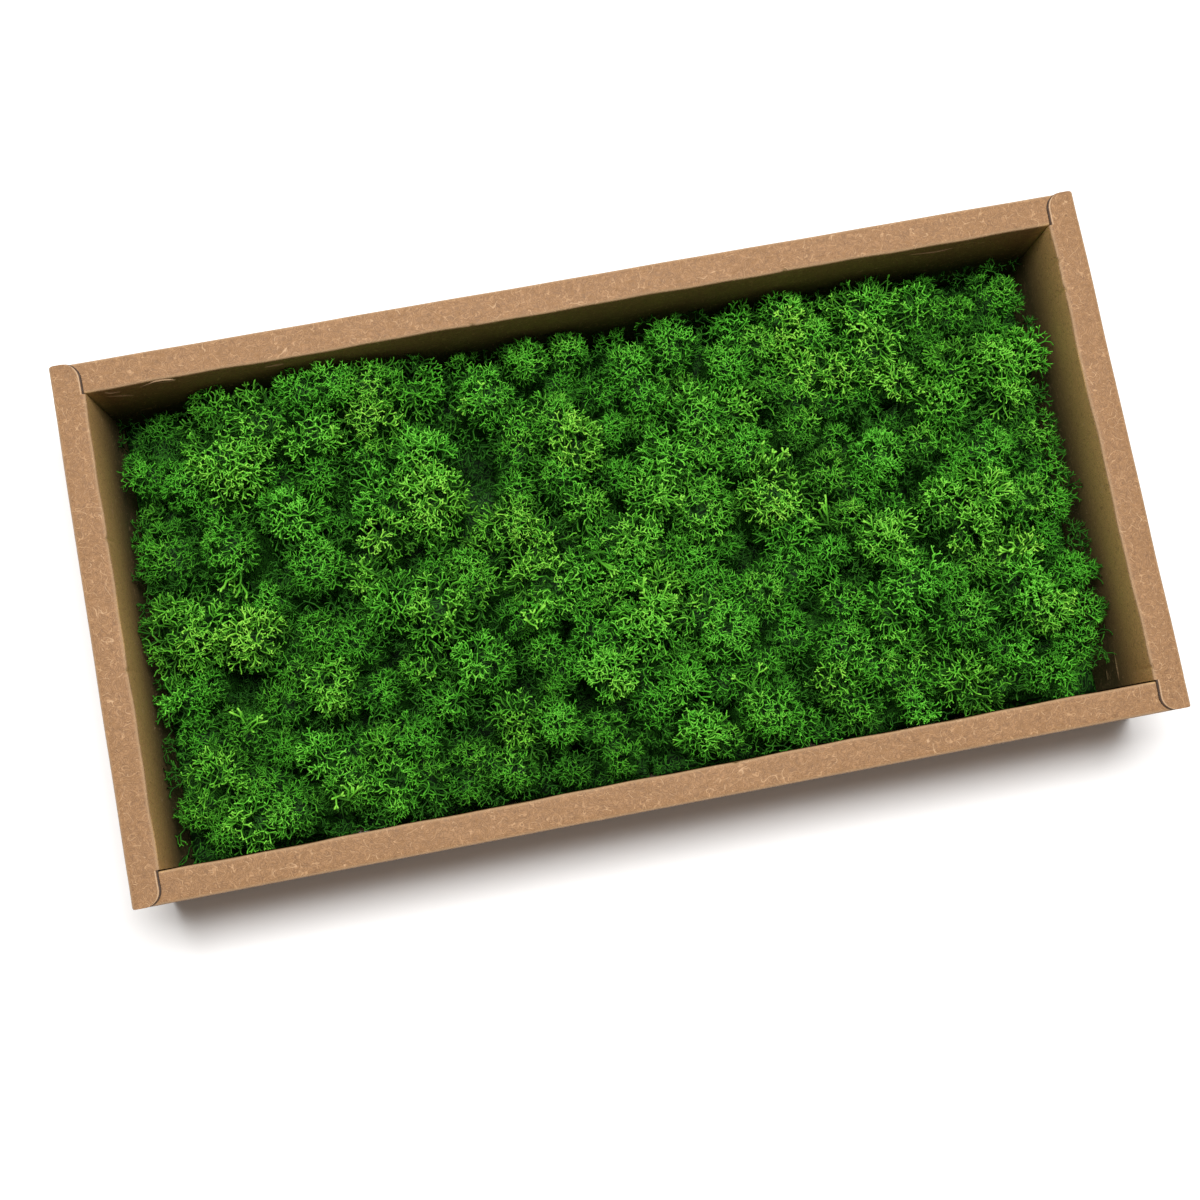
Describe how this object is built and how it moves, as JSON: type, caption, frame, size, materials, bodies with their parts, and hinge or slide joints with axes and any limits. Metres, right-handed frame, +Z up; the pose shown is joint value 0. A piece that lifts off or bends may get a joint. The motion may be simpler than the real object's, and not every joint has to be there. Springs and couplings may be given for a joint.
{
  "type": "reindeer moss in kraft tray",
  "caption": "Shallow folded kraft-board tray with double walls and a flat rim, packed wall to wall with cushions of green reindeer moss.",
  "frame": {"origin": "middle of the tray's underside, on the surface that it rests on", "axes": "+X along the long side, +Y across it towards the side that is farther away in the picture, +Z up"},
  "size_m": [0.3, 0.154, 0.05],
  "materials": {
    "kraft_board": "uncoated brown kraft board, matt, with fine fibres",
    "moss": "soft dyed lichen branchlets, matt with a slight waxy gloss at the tips"
  },
  "bodies": {
    "root": {"kraft_box": "kraft_board", "moss_clump_01": "moss", "moss_clump_02": "moss", "moss_clump_03": "moss", "moss_clump_04": "moss", "moss_clump_05": "moss", "moss_clump_06": "moss", "moss_clump_07": "moss", "moss_clump_08": "moss", "moss_clump_09": "moss", "moss_clump_10": "moss", "moss_clump_11": "moss", "moss_clump_12": "moss", "moss_clump_13": "moss", "moss_clump_14": "moss", "moss_clump_15": "moss", "moss_clump_16": "moss", "moss_clump_17": "moss", "moss_clump_18": "moss"}
  },
  "joints": []
}
